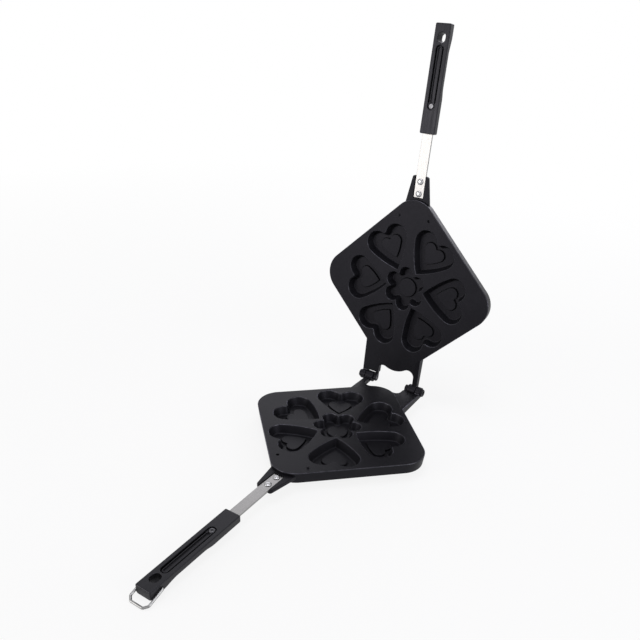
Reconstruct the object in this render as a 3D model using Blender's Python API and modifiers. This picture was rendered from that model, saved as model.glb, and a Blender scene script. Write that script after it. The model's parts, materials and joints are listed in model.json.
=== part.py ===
# Heart waffle iron for the hob: two hinged castings with spring handles, standing open.
# Metres, Z up. The origin is on the table, in the middle of the room that the open iron takes
# up, and +Y runs from the handle towards the hinge. One mould makes both castings, so each piece
# of a half is modelled once, in the mould's frame: its origin is on the hinge axis, the plate
# lies towards -Y and the cavities face +Z. The upper half is the same half turned over.

import math

import bmesh
import bpy
from mathutils import Matrix, Vector

# From the origin to the centre of the lower plate
PLATE_BEHIND_ORIGIN = 0.0538

# Fits
CLEARANCE = 0.0003
PARTING_GAP = 0.0003
OVERRUN = 0.002

# Plate, a square that stands on its corner
PLATE_SIDE = 0.150
PLATE_CORNER = 0.0245
SMALLEST_CORNER = 0.0020
RIM_BEVEL = 0.0006
WALL_DRAFT = 0.0017
WALL_THICKNESS = 0.0036
DECK_THICKNESS = 0.0043
FLOOR_THICKNESS = 0.0028
CAVITY_DEPTH = 0.0088
CAVITY_DRAFT = 0.0031
CAVITY_WALL = 0.0026

# Square foot rail on the back, clear of the flame in its middle
FOOT_HEIGHT = 0.0074
FOOT_INSET = 0.0160
FOOT_WIDTH = 0.0042

# Hearts, whose tips point at the middle of the plate
HEARTS = 6
HEART_TO_SIDE_ANGLE = math.radians(15)
EDGE_LAND = 0.0047
HEART_LAND = 0.0100
CENTRE_LAND = 0.0048
LOBE_OVERLAP = 0.0008
HEART_SIDE_RADIUS = 0.110
HEART_NOTCH_RADIUS = 0.0024
HEART_TIP_RADIUS = 0.0012
SMALLEST_RADIUS = 0.0004

# Flower in the middle
PETAL_CENTRE_RADIUS = 0.0160
PETAL_OVERLAP = 0.0002
PETAL_NOTCH_RADIUS = 0.0006

# Raised bosses on the cavity floors
BOSS_HEIGHT = 0.0020
BOSS_DRAFT = 0.0005
BOSS_SIZE_SHARE = 0.49
BOSS_PLACE_SHARE = 0.538
ROUND_BOSS_RADIUS = 0.0102

# Peg and hole that line the two rims up
LOCATOR_APART = 0.0175
LOCATOR_FROM_CORNER = 0.0190
PEG_RADIUS = 0.0013
PEG_HEIGHT = 0.0014
PEG_PLAY = 0.0004

# Hinge
HINGE_BEYOND_CORNER = 0.0142
OPEN_ANGLE = math.radians(96.2)
KNUCKLE_RADIUS = 0.0054
ARM_DEPTH = 0.0088
NOTCH_PLAY = 0.0020
LUG_INNER = 0.0181
LUG_WIDTH = 0.0034
TONGUE_WIDTH = 0.0095
SIDE_PLAY = 0.0005
EAR_WIDTH = 0.0058
EAR_BOSS_HEIGHT = 0.0022
EAR_BOSS_RADIUS = 0.0041
NECK_INNER_STEP = 0.0030
NECK_OUTER_STEP = 0.0005
LUG_FILLET = 0.0055
TONGUE_FILLET = 0.0070
PIN_RADIUS = 0.0016
PIN_RECESS = 0.0015

# Fork that carries the handle strip
FORK_LENGTH = 0.0242
FORK_ROOT_INSIDE = 0.0080
FORK_ROOT_WIDTH = 0.0286
FORK_END_WIDTH = 0.0174
FORK_DROP = 0.0032
FORK_FLOOR = 0.0020
FORK_UNDER_BEVEL = 0.0018
FORK_END_BEVEL = 0.0010

# Handle strip, level in the fork and bent outwards past it
STRIP_WIDTH = 0.0110
STRIP_THICKNESS = 0.0020
STRIP_BELOW_FORK = 0.0009
STRIP_FROM_CORNER = 0.0018
STRIP_FREE_LENGTH = 0.0412
BEND_BEYOND_FORK = 0.0010
HANDLE_TILT = math.radians(2.2)
TANG_LENGTH = 0.0310

# Rivets
RIVET_RADIUS = 0.0020
RIVET_HEAD_RADIUS = 0.0030
RIVET_HEAD_HEIGHT = 0.0014
RIVET_FROM_STRIP_END = 0.0040
RIVET_SPACING = 0.0125

# Grip, measured from its face over the strip
GRIP_LENGTH = 0.1050
GRIP_WIDTH = 0.0165
GRIP_ABOVE_STRIP = 0.0023
GRIP_FRONT_DEPTH = 0.0078
GRIP_WAIST_DEPTH = 0.0063
GRIP_END_DEPTH = 0.0090
GRIP_BOTTOM_ROUND = 0.0024
GRIP_TOP_BEVEL = 0.0006
WAIST_START_SHARES = (0.32, 0.43)
WAIST_END_SHARES = (0.72, 0.90)
SLOT_WIDTH = 0.0078
SLOT_BEYOND_SCREW = 0.0037
SLOT_FROM_END = 0.0202
GROOVE_WIDTH = 0.0036
GROOVE_DEPTH = 0.0022
GROOVE_FROM_TANG = 0.0030
GROOVE_FROM_SLOT_END = 0.0020
HANG_HOLE_WIDTH = 0.0086
HANG_HOLE_LENGTH = 0.0108
HANG_HOLE_FROM_END = 0.0133

# Screw that holds the grip on the strip
SCREW_RADIUS = 0.0012
SCREW_HEAD_RADIUS = 0.0027
SCREW_HEAD_HEIGHT = 0.0012
SCREW_LENGTH = 0.0042
SCREW_FROM_TANG_END = 0.0039

# Wire bail that locks the two grips together
WIRE_RADIUS = 0.0011
BAIL_FROM_GRIP_END = 0.0115
BAIL_BELOW_GRIP_TOP = 0.0042
BAIL_BEYOND_GRIP = 0.0080
BAIL_SIDE_GAP = 0.0003
BAIL_HOLE_DEPTH = 0.0027
BAIL_CHAMFER = 0.0034
BAIL_LIFT = 0.0002

# Facets
CORNER_STEPS = 7
LOBE_STEPS = 8
SIDE_STEPS = 4
PETAL_STEPS = 7
SMALL_STEPS = 2
KNUCKLE_STEPS = 16
ROUND_STEPS = 16
BOSS_STEPS = 32
WAIST_STEPS = 5
WIRE_RESOLUTION = 2
SMOOTH_ANGLE = math.radians(34)
WELD = 0.000001

# Sizes that follow from the ones above
WALL_HEIGHT = CAVITY_DEPTH + FLOOR_THICKNESS
HALF_DIAGONAL = PLATE_SIDE / math.sqrt(2)
CORNER_REACH = HALF_DIAGONAL - PLATE_CORNER * (math.sqrt(2) - 1)
CENTRE_Y = -(CORNER_REACH + HINGE_BEYOND_CORNER)
RIM = -PARTING_GAP / 2
CAVITY_FLOOR = RIM - CAVITY_DEPTH
DECK_UNDER = RIM - DECK_THICKNESS
IN_DECK = RIM - DECK_THICKNESS * 3 / 4
WALL_FOOT = RIM - WALL_HEIGHT
FOOT_PLANE = WALL_FOOT - FOOT_HEIGHT
PETAL_RADIUS = PETAL_CENTRE_RADIUS * math.sin(math.pi / HEARTS) + PETAL_OVERLAP
LUG_OUTER = LUG_INNER + LUG_WIDTH
TONGUE_INNER = LUG_OUTER + SIDE_PLAY
TONGUE_OUTER = TONGUE_INNER + TONGUE_WIDTH
EAR_INNER = TONGUE_OUTER + SIDE_PLAY
EAR_OUTER = EAR_INNER + EAR_WIDTH
EAR_FACE = EAR_OUTER + EAR_BOSS_HEIGHT
NECK_INNER = TONGUE_INNER + NECK_INNER_STEP
NECK_OUTER = TONGUE_OUTER - NECK_OUTER_STEP
NOTCH_BOTTOM = -(KNUCKLE_RADIUS + NOTCH_PLAY)
ARM_ROOT = CENTRE_Y + HALF_DIAGONAL - EAR_OUTER - WALL_THICKNESS
HANDLE_CORNER = CENTRE_Y - CORNER_REACH
FORK_ROOT = HANDLE_CORNER + FORK_ROOT_INSIDE
FORK_END = HANDLE_CORNER - FORK_LENGTH
FORK_TOP = RIM - FORK_DROP
STRIP_TOP = FORK_TOP - STRIP_BELOW_FORK
TROUGH_FLOOR = STRIP_TOP - STRIP_THICKNESS - CLEARANCE
FORK_BOTTOM = TROUGH_FLOOR - FORK_FLOOR
STRIP_START = HANDLE_CORNER - STRIP_FROM_CORNER
BEND_Y = FORK_END - BEND_BEYOND_FORK
GRIP_END = -STRIP_FREE_LENGTH - GRIP_LENGTH
TANG_END = -STRIP_FREE_LENGTH - TANG_LENGTH
SCREW_Y = TANG_END + SCREW_FROM_TANG_END
SLOT_FRONT = SCREW_Y + SLOT_BEYOND_SCREW
SLOT_END = GRIP_END + SLOT_FROM_END
BAIL_Y = GRIP_END + BAIL_FROM_GRIP_END
BAIL_Z = GRIP_ABOVE_STRIP - BAIL_BELOW_GRIP_TOP
BAIL_REACH = BAIL_FROM_GRIP_END + BAIL_BEYOND_GRIP
BAIL_SIDE = GRIP_WIDTH / 2 + BAIL_SIDE_GAP + WIRE_RADIUS
BAIL_TIP = GRIP_WIDTH / 2 - BAIL_HOLE_DEPTH + CLEARANCE

# Frames: the hinge in the world, a handle on its strip's bend, the upper half turned over and opened
HINGE_FRAME = Matrix.Translation((0, PLATE_BEHIND_ORIGIN - CENTRE_Y, -FOOT_PLANE))
HANDLE_FRAME = Matrix.Translation((0, BEND_Y, STRIP_TOP)) @ Matrix.Rotation(HANDLE_TILT, 4, "X")
TURNED_OVER = Matrix.Rotation(-OPEN_ANGLE, 4, "X") @ Matrix.Rotation(math.pi, 4, "Y")


def clear_scene():
    for thing in list(bpy.data.objects):
        bpy.data.objects.remove(thing, do_unlink=True)
    for group in list(bpy.data.collections):
        bpy.data.collections.remove(group)


def new_collection(name):
    group = bpy.data.collections.new(name)
    bpy.context.scene.collection.children.link(group)


def make_material(name, colour, roughness, metallic):
    material = bpy.data.materials.new(name)
    material.use_nodes = True
    shader = material.node_tree.nodes["Principled BSDF"]
    shader.inputs["Base Color"].default_value = (*colour, 1)
    shader.inputs["Roughness"].default_value = roughness
    shader.inputs["Metallic"].default_value = metallic
    material.diffuse_color = (*colour, 1)
    return material


# Flat outlines

def polar(radius, angle):
    return Vector((radius * math.cos(angle), radius * math.sin(angle)))


def angle_of(vector):
    return math.atan2(vector.y, vector.x)


def arc(centre, radius, start, end, steps):
    return [Vector(centre) + polar(radius, start + (end - start) * step / steps) for step in range(steps + 1)]


def stadium(centre_y, length, width):
    """A long hole with round ends along Y."""
    reach = (length - width) / 2
    front = arc((0, centre_y + reach), width / 2, 0, math.pi, ROUND_STEPS // 2)
    return front + arc((0, centre_y - reach), width / 2, math.pi, 2 * math.pi, ROUND_STEPS // 2)


def plate_outline(inset):
    """The plate's square on its corner, drawn in by the inset, round its own centre."""
    radius = max(PLATE_CORNER - inset, SMALLEST_CORNER)
    reach = (PLATE_SIDE / 2 - inset - radius) * math.sqrt(2)
    points = []
    for corner in range(4):
        middle = corner * math.pi / 2
        points += arc(polar(reach, middle), radius, middle - math.pi / 4, middle + math.pi / 4, CORNER_STEPS)
    return points


def notch_between(centre, round_radius, notch_radius):
    """Place on the X axis of a circle that touches two equal circles on either side of the axis."""
    return centre.x + math.sqrt((round_radius + notch_radius) ** 2 - centre.y ** 2)


def flower_outline(inset):
    """Petals round the origin; a negative inset gives the outer side of the casting's wall."""
    pitch = 2 * math.pi / HEARTS
    notch_radius = max(PETAL_NOTCH_RADIUS + inset, SMALLEST_RADIUS)
    petal_radius = PETAL_RADIUS - inset
    notch_out = notch_between(polar(PETAL_CENTRE_RADIUS, pitch / 2), petal_radius, notch_radius)
    sweep = angle_of(polar(notch_out, pitch / 2) - Vector((PETAL_CENTRE_RADIUS, 0)))
    points = []
    for petal in range(HEARTS):
        inwards = petal * pitch + math.pi
        opening = sweep - pitch / 2
        points += arc(polar(notch_out, petal * pitch), notch_radius, inwards + opening, inwards - opening,
                      SMALL_STEPS)[:-1]
        middle = (petal + 1 / 2) * pitch
        points += arc(polar(PETAL_CENTRE_RADIUS, middle), petal_radius, middle - sweep, middle + sweep,
                      PETAL_STEPS)[:-1]
    return points


def lobe_centre():
    """Centre of a heart's lobe, which leaves the edge land and the land to the next heart."""
    half_pitch = math.pi / HEARTS
    lean = math.sin(HEART_TO_SIDE_ANGLE)
    to_edge = PLATE_SIDE / 2 - EDGE_LAND - LOBE_OVERLAP
    along_share = math.sin(half_pitch) / math.cos(HEART_TO_SIDE_ANGLE)
    room = along_share * to_edge - LOBE_OVERLAP - HEART_LAND / 2
    apart = room / (1 + math.cos(half_pitch) + along_share * (1 + lean))
    return Vector(((to_edge - apart * (1 + lean)) / math.cos(HEART_TO_SIDE_ANGLE), apart))


def side_centre(lobe):
    """Centre of the arc that runs from a heart's tip into its lobe."""
    flower_notch = notch_between(polar(PETAL_CENTRE_RADIUS, math.pi / HEARTS), PETAL_RADIUS,
                                 PETAL_NOTCH_RADIUS)
    tip = Vector((flower_notch - PETAL_NOTCH_RADIUS + CENTRE_LAND, 0))
    span = lobe - tip
    to_lobe = HEART_SIDE_RADIUS - lobe.y - LOBE_OVERLAP
    along = (span.length_squared + HEART_SIDE_RADIUS ** 2 - to_lobe ** 2) / (2 * span.length)
    aside = math.sqrt(HEART_SIDE_RADIUS ** 2 - along ** 2)
    direction = span.normalized()
    return tip + direction * along + Vector((direction.y, -direction.x)) * aside


def heart_outline(inset):
    """One heart with its tip towards the origin and its lobes towards +X."""
    lobe = lobe_centre()
    side = side_centre(lobe)
    lobe_radius = lobe.y + LOBE_OVERLAP - inset
    side_radius = HEART_SIDE_RADIUS - inset
    notch_radius = max(HEART_NOTCH_RADIUS + inset, SMALLEST_RADIUS)
    tip_radius = max(HEART_TIP_RADIUS - inset, SMALLEST_RADIUS)
    notch = Vector((notch_between(lobe, lobe_radius, notch_radius), 0))
    tip = Vector((side.x - math.sqrt((side_radius - tip_radius) ** 2 - side.y ** 2), 0))
    half = arc(notch, notch_radius, math.pi, angle_of(lobe - notch), SMALL_STEPS)
    half += arc(lobe, lobe_radius, angle_of(notch - lobe), angle_of(lobe - side), LOBE_STEPS)[1:]
    half += arc(side, side_radius, angle_of(lobe - side), angle_of(tip - side), SIDE_STEPS)[1:]
    half += arc(tip, tip_radius, angle_of(tip - side), math.pi, SMALL_STEPS)[1:]
    return half + [Vector((point.x, -point.y)) for point in reversed(half[1:-1])]


def heart_boss_outline(spread):
    """The small heart on a cavity floor, grown by the spread."""
    rim = heart_outline(0)
    reach = [point.x for point in rim]
    middle = min(reach) + (max(reach) - min(reach)) * BOSS_PLACE_SHARE
    size_share = BOSS_SIZE_SHARE + spread / (2 * lobe_centre().y)
    return [Vector((middle + (point.x - middle) * size_share, point.y * size_share)) for point in rim]


def round_boss_outline(spread):
    return arc((0, 0), ROUND_BOSS_RADIUS + spread, 0, 2 * math.pi, BOSS_STEPS)[:-1]


# Meshes

def finished(name, shape):
    """The bmesh as a mesh with its faces pointing out."""
    bmesh.ops.recalc_face_normals(shape, faces=shape.faces)
    mesh = bpy.data.meshes.new(name)
    shape.to_mesh(mesh)
    shape.free()
    return mesh


def loft(name, sections):
    """A closed solid through outlines of equal point counts, each a list of 3D points."""
    shape = bmesh.new()
    rings = [[shape.verts.new(point) for point in section] for section in sections]
    for low, high in zip(rings, rings[1:]):
        for index in range(len(low)):
            before = index - 1
            shape.faces.new((low[before], low[index], high[index], high[before]))
    shape.faces.new(rings[0])
    shape.faces.new(rings[-1])
    return finished(name, shape)


def plate_loft(name, sections, turn=0):
    """A loft of (outline, height) sections, turned about the plate's centre."""
    spin = Matrix.Rotation(turn, 2)
    return loft(name, [[(spin @ point).to_3d() + Vector((0, CENTRE_Y, height)) for point in outline]
                       for outline, height in sections])


def joined(name, meshes):
    shape = bmesh.new()
    for mesh in meshes:
        shape.from_mesh(mesh)
    return finished(name, shape)


def mesh_of(thing):
    """The evaluated mesh of an object, with its loose caps welded on."""
    bpy.context.view_layer.update()
    evaluated = thing.evaluated_get(bpy.context.evaluated_depsgraph_get())
    loose = bpy.data.meshes.new_from_object(evaluated)
    shape = bmesh.new()
    shape.from_mesh(loose)
    bmesh.ops.remove_doubles(shape, verts=shape.verts, dist=WELD)
    bpy.data.meshes.remove(loose)
    return finished(thing.name, shape)


def mesh_from_guide(name, data, prepare=None):
    """The mesh of a curve or profile that is only a guide."""
    guide = bpy.data.objects.new(name, data)
    bpy.context.scene.collection.objects.link(guide)
    if prepare:
        prepare(guide)
    mesh = mesh_of(guide)
    bpy.data.objects.remove(guide, do_unlink=True)
    return mesh


def poly_curve(name, dimensions, points, cyclic):
    curve = bpy.data.curves.new(name, "CURVE")
    curve.dimensions = dimensions
    spline = curve.splines.new("POLY")
    spline.points.add(len(points) - 1)
    for place, point in zip(spline.points, points):
        place.co = (*Vector(point).to_3d(), 1)
    spline.use_cyclic_u = cyclic
    return curve


def flat_solid(name, outline, low, high):
    """A flat outline as thick as from low to high along Z."""
    curve = poly_curve(name, "2D", outline, True)
    curve.fill_mode = "BOTH"
    curve.extrude = (high - low) / 2
    mesh = mesh_from_guide(name, curve)
    mesh.transform(Matrix.Translation((0, 0, (high + low) / 2)))
    return mesh


def side_solid(name, outline, low, high):
    """Like flat_solid, for an outline of (y, z) points that is thick along X."""
    mesh = flat_solid(name, outline, low, high)
    mesh.transform(Matrix(((0, 0, 1, 0), (1, 0, 0, 0), (0, 1, 0, 0), (0, 0, 0, 1))))
    return mesh


def mirrored(mesh):
    mesh.transform(Matrix.Scale(-1, 4, (1, 0, 0)))
    mesh.flip_normals()
    return mesh


def box(name, low, high):
    size = Vector(high) - Vector(low)
    shape = bmesh.new()
    bmesh.ops.create_cube(shape, size=1)
    bmesh.ops.scale(shape, verts=shape.verts, vec=size)
    bmesh.ops.translate(shape, verts=shape.verts, vec=Vector(low) + size / 2)
    return finished(name, shape)


def rod(name, radius, low, high, axis, place=(0, 0, 0)):
    """A cylinder from low to high along X or Z, through the given place."""
    shape = bmesh.new()
    bmesh.ops.create_cone(shape, cap_ends=True, segments=ROUND_STEPS, radius1=radius, radius2=radius,
                          depth=high - low)
    bmesh.ops.translate(shape, verts=shape.verts, vec=(0, 0, (high + low) / 2))
    if axis == "X":
        bmesh.ops.rotate(shape, verts=shape.verts, matrix=Matrix.Rotation(math.pi / 2, 3, "Y"))
    bmesh.ops.translate(shape, verts=shape.verts, vec=place)
    return finished(name, shape)


def turned(name, profile):
    """A solid of revolution about Z from (radius, height) points, top to bottom."""
    mesh = bpy.data.meshes.new(name)
    edges = [(index, index + 1) for index in range(len(profile) - 1)]
    mesh.from_pydata([(radius, 0, height) for radius, height in profile], edges, [])

    def add_screw(guide):
        screw = guide.modifiers.new("turn", "SCREW")
        screw.steps = ROUND_STEPS
        screw.render_steps = ROUND_STEPS
        screw.use_merge_vertices = True
        screw.merge_threshold = WELD

    return mesh_from_guide(name, mesh, add_screw)


def start_solid(name, mesh):
    """An object among the cutters, on which a piece is built up."""
    thing = bpy.data.objects.new(name, mesh)
    bpy.data.collections["cutters"].objects.link(thing)
    thing.hide_render = True
    thing.display_type = "WIRE"
    return thing


def combine(thing, operation, mesh):
    """Join a solid to an object, or cut it out, with a Boolean modifier."""
    modifier = thing.modifiers.new(mesh.name, "BOOLEAN")
    modifier.operation = operation
    modifier.solver = "EXACT"
    modifier.object = start_solid(mesh.name, mesh)


# Plate casting

def cavity_inset(height):
    """How far a cavity's wall leans in at a height."""
    return CAVITY_DRAFT * (RIM - height) / CAVITY_DEPTH


def cavity_sections(outline):
    under_bevel = RIM - RIM_BEVEL
    mouth = outline(-RIM_BEVEL / 2)
    return [(mouth, RIM + OVERRUN), (mouth, RIM), (outline(cavity_inset(under_bevel)), under_bevel),
            (outline(CAVITY_DRAFT), CAVITY_FLOOR)]


def shell_sections(outline):
    """The casting's own wall and floor under a cavity."""
    return [(outline(cavity_inset(IN_DECK) - CAVITY_WALL), IN_DECK),
            (outline(CAVITY_DRAFT - CAVITY_WALL), WALL_FOOT)]


def boss_sections(outline):
    foot = outline(BOSS_DRAFT)
    return [(foot, CAVITY_FLOOR - FLOOR_THICKNESS / 2), (foot, CAVITY_FLOOR),
            (outline(0), CAVITY_FLOOR + BOSS_HEIGHT)]


def combine_hearts_and_flower(casting, operation, name, heart_sections, middle_sections):
    """Join or cut the same kind of solid at the flower and at every heart."""
    combine(casting, operation, plate_loft("flower_" + name, middle_sections))
    hearts = [plate_loft("heart", heart_sections, 2 * math.pi * heart / HEARTS) for heart in range(HEARTS)]
    combine(casting, operation, joined("heart_" + name, hearts))


def arm_profile():
    """Side view of a hinge arm as (y, z) points: a knuckle on a lever that widens to the plate."""
    root = Vector((ARM_ROOT, -ARM_DEPTH))
    start = math.pi + math.asin(-RIM / KNUCKLE_RADIUS)
    tangent = angle_of(root) + math.acos(KNUCKLE_RADIUS / root.length)
    return arc((0, 0), KNUCKLE_RADIUS, start, tangent, KNUCKLE_STEPS) + [root, Vector((ARM_ROOT, RIM))]


def arm_web(name, inner, fillet):
    """The rounded web between a hinge arm's inner side and the plate's round corner."""
    corner = Vector((0, CENTRE_Y + CORNER_REACH - PLATE_CORNER))
    across = inner - fillet
    centre = Vector((across, corner.y + math.sqrt((PLATE_CORNER + fillet) ** 2 - across ** 2)))
    edge = arc(centre, fillet, 0, angle_of(corner - centre), 2 * SMALL_STEPS)
    inside = inner + LUG_WIDTH / 2
    outline = edge + [Vector((edge[-1].x, corner.y)), Vector((inside, corner.y)), Vector((inside, centre.y))]
    return flat_solid(name, outline, -ARM_DEPTH, RIM)


def add_hinge_arms(casting):
    combine(casting, "UNION", side_solid("ear_arm", arm_profile(), LUG_INNER, EAR_OUTER))
    combine(casting, "UNION", arm_web("ear_web", LUG_INNER, LUG_FILLET))
    combine(casting, "UNION", rod("ear_boss", EAR_BOSS_RADIUS, EAR_INNER + EAR_WIDTH / 2, EAR_FACE, "X"))
    notch_low = (LUG_OUTER, NOTCH_BOTTOM, -ARM_DEPTH - OVERRUN)
    notch_high = (EAR_INNER, KNUCKLE_RADIUS + OVERRUN, KNUCKLE_RADIUS + OVERRUN)
    combine(casting, "DIFFERENCE", box("hinge_notch", notch_low, notch_high))
    combine(casting, "UNION", mirrored(side_solid("tongue_arm", arm_profile(), NECK_INNER, NECK_OUTER)))
    combine(casting, "UNION", mirrored(arm_web("tongue_web", NECK_INNER, TONGUE_FILLET)))
    combine(casting, "UNION", rod("tongue", KNUCKLE_RADIUS, -TONGUE_OUTER, -TONGUE_INNER, "X"))


def fork_section(place, width):
    half = width / 2
    side = FORK_BOTTOM + FORK_UNDER_BEVEL
    flat = half - FORK_UNDER_BEVEL
    outline = ((-half, FORK_TOP), (-half, side), (-flat, FORK_BOTTOM), (flat, FORK_BOTTOM), (half, side),
               (half, FORK_TOP))
    return [Vector((across, place, height)) for across, height in outline]


def add_fork(casting):
    slope = (FORK_ROOT_WIDTH - FORK_END_WIDTH) / (FORK_ROOT - FORK_END)
    sections = [fork_section(FORK_ROOT, FORK_ROOT_WIDTH),
                fork_section(FORK_END + FORK_END_BEVEL, FORK_END_WIDTH + slope * FORK_END_BEVEL),
                fork_section(FORK_END, FORK_END_WIDTH - 2 * FORK_END_BEVEL)]
    combine(casting, "UNION", loft("fork", sections))


def trough():
    """The channel in the fork that the strip lies in."""
    half = STRIP_WIDTH / 2 + CLEARANCE
    return box("trough", (-half, FORK_END - OVERRUN, TROUGH_FLOOR),
               (half, STRIP_START + CLEARANCE, FORK_TOP + OVERRUN))


def rivet_places():
    first = STRIP_START - RIVET_FROM_STRIP_END
    return {"inner": first, "outer": first - RIVET_SPACING}


def rivet_holes(low, high):
    holes = [rod("rivet_hole", RIVET_RADIUS + CLEARANCE, low, high, "Z", (0, place, 0))
             for place in rivet_places().values()]
    return joined("rivet_holes", holes)


def back_pocket():
    wide = plate_outline(WALL_DRAFT + WALL_THICKNESS)
    narrow = plate_outline(2 * WALL_DRAFT + WALL_THICKNESS)
    return plate_loft("back_pocket", [(wide, WALL_FOOT - OVERRUN), (wide, WALL_FOOT), (narrow, DECK_UNDER)])


def foot_rail():
    outer = plate_outline(FOOT_INSET)
    inner = plate_outline(FOOT_INSET + FOOT_WIDTH)
    rail = start_solid("foot_rail", plate_loft("foot_rail", [(outer, IN_DECK), (outer, FOOT_PLANE)]))
    combine(rail, "DIFFERENCE", plate_loft("foot_rail_middle", [(inner, RIM + OVERRUN),
                                                                (inner, FOOT_PLANE - OVERRUN)]))
    return mesh_of(rail)


def add_locators(casting):
    place = HANDLE_CORNER + LOCATOR_FROM_CORNER
    combine(casting, "DIFFERENCE", rod("locating_hole", PEG_RADIUS + PEG_PLAY, RIM - PEG_HEIGHT - PEG_PLAY,
                                       RIM + OVERRUN, "Z", (-LOCATOR_APART, place, 0)))
    combine(casting, "UNION", rod("locating_peg", PEG_RADIUS, IN_DECK, RIM + PEG_HEIGHT, "Z",
                                  (LOCATOR_APART, place, 0)))


def build_casting():
    """The plate with its cavities, hinge arms, fork and foot rail, as one casting."""
    outer = [(plate_outline(RIM_BEVEL), RIM), (plate_outline(0), RIM - RIM_BEVEL),
             (plate_outline(WALL_DRAFT), WALL_FOOT)]
    casting = start_solid("casting", plate_loft("casting", outer))
    add_hinge_arms(casting)
    add_fork(casting)
    combine(casting, "DIFFERENCE", back_pocket())
    combine_hearts_and_flower(casting, "UNION", "shells", shell_sections(heart_outline),
                              shell_sections(flower_outline))
    combine(casting, "UNION", foot_rail())
    combine_hearts_and_flower(casting, "DIFFERENCE", "cavities", cavity_sections(heart_outline),
                              cavity_sections(flower_outline))
    combine_hearts_and_flower(casting, "UNION", "bosses", boss_sections(heart_boss_outline),
                              boss_sections(round_boss_outline))
    combine(casting, "DIFFERENCE", trough())
    combine(casting, "DIFFERENCE", rivet_holes(FORK_BOTTOM - OVERRUN, STRIP_TOP))
    combine(casting, "DIFFERENCE", rod("pin_bore", PIN_RADIUS + CLEARANCE, -EAR_FACE - OVERRUN,
                                       EAR_FACE + OVERRUN, "X"))
    add_locators(casting)
    return mesh_of(casting)


# Handle

def build_strip():
    """The steel strip: level in the fork, bent outwards past it, its tang inside the grip."""
    tang = HANDLE_FRAME @ Vector((0, TANG_END, 0))
    tang_under = HANDLE_FRAME @ Vector((0, TANG_END, -STRIP_THICKNESS))
    mitre = STRIP_THICKNESS * math.tan(HANDLE_TILT / 2)
    outline = [Vector((STRIP_START, STRIP_TOP)), Vector((BEND_Y, STRIP_TOP)), tang.yz, tang_under.yz,
               Vector((BEND_Y + mitre, STRIP_TOP - STRIP_THICKNESS)),
               Vector((STRIP_START, STRIP_TOP - STRIP_THICKNESS))]
    strip = start_solid("strip", side_solid("strip", outline, -STRIP_WIDTH / 2, STRIP_WIDTH / 2))
    combine(strip, "DIFFERENCE", rivet_holes(TROUGH_FLOOR, FORK_TOP))
    hole = rod("screw_hole", SCREW_RADIUS + CLEARANCE, -STRIP_THICKNESS - OVERRUN, OVERRUN, "Z",
               (0, SCREW_Y, 0))
    hole.transform(HANDLE_FRAME)
    combine(strip, "DIFFERENCE", hole)
    return mesh_of(strip)


def build_rivet():
    """A rivet with a domed head on the strip, its shank flush under the fork."""
    base = STRIP_TOP + CLEARANCE
    steps = 2 * SMALL_STEPS
    angles = [math.pi / 2 * step / steps for step in range(steps + 1)]
    dome = [(RIVET_HEAD_RADIUS * math.sin(angle), base + RIVET_HEAD_HEIGHT * math.cos(angle))
            for angle in angles]
    return turned("rivet", dome + [(RIVET_RADIUS, base), (RIVET_RADIUS, FORK_BOTTOM), (0, FORK_BOTTOM)])


def build_screw():
    """The grip's screw in the handle frame, its head on the tang."""
    top = CLEARANCE + SCREW_HEAD_HEIGHT
    edge = SCREW_HEAD_HEIGHT / 2
    return turned("grip_screw", [(0, top), (SCREW_HEAD_RADIUS - edge, top), (SCREW_HEAD_RADIUS, top - edge),
                                 (SCREW_HEAD_RADIUS, CLEARANCE), (SCREW_RADIUS, CLEARANCE),
                                 (SCREW_RADIUS, CLEARANCE - SCREW_LENGTH), (0, CLEARANCE - SCREW_LENGTH)])


def grip_stations():
    """(share of the length, depth) pairs down the grip, with soft steps into and out of the waist."""
    stations = [(0, GRIP_FRONT_DEPTH)]
    for shares, before, after in ((WAIST_START_SHARES, GRIP_FRONT_DEPTH, GRIP_WAIST_DEPTH),
                                  (WAIST_END_SHARES, GRIP_WAIST_DEPTH, GRIP_END_DEPTH)):
        for step in range(WAIST_STEPS + 1):
            done = step / WAIST_STEPS
            ease = (1 - math.cos(math.pi * done)) / 2
            stations.append((shares[0] + (shares[1] - shares[0]) * done, before + (after - before) * ease))
    return stations + [(1, GRIP_END_DEPTH)]


def grip_section(place, depth):
    """A section across the grip: small bevels above, round corners below."""
    half = GRIP_WIDTH / 2
    corner = (half - GRIP_BOTTOM_ROUND, GRIP_ABOVE_STRIP - depth + GRIP_BOTTOM_ROUND)
    right = [Vector((half - GRIP_TOP_BEVEL, GRIP_ABOVE_STRIP)), Vector((half, GRIP_ABOVE_STRIP - GRIP_TOP_BEVEL))]
    right += arc(corner, GRIP_BOTTOM_ROUND, 0, -math.pi / 2, 2 * SMALL_STEPS)
    outline = right + [Vector((-point.x, point.y)) for point in reversed(right)]
    return [Vector((point.x, place, point.y)) for point in outline]


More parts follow.
